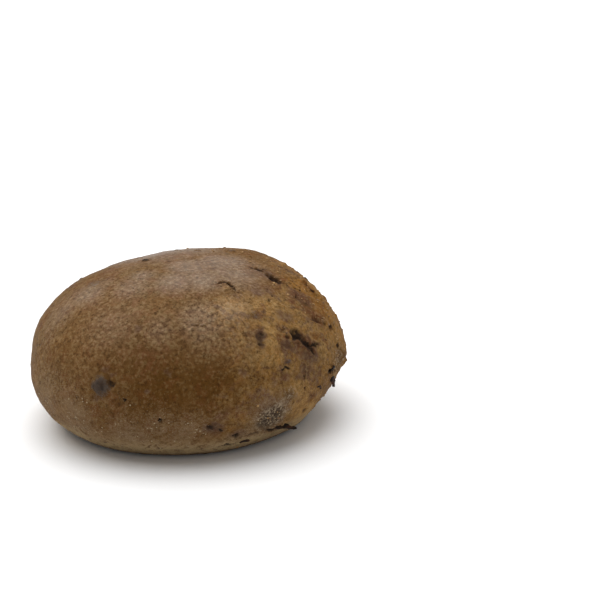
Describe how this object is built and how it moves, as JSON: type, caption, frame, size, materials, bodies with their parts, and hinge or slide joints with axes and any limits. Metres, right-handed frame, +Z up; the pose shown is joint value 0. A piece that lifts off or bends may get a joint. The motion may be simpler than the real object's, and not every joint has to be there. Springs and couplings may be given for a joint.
{
  "type": "onion bread loaf",
  "caption": "Round-oval free-standing hearth loaf of onion rye bread with a domed, mottled brown crust, scorched onion bits and a flat base to rest on.",
  "frame": {"origin": "middle of the flat base, on the surface the loaf rests on", "axes": "+X along the longer way of the oval, +Z up through the top of the dome"},
  "size_m": [0.2034, 0.188, 0.102],
  "materials": {
    "crust": "satin"
  },
  "bodies": {
    "root": {"loaf": "crust"}
  },
  "joints": []
}
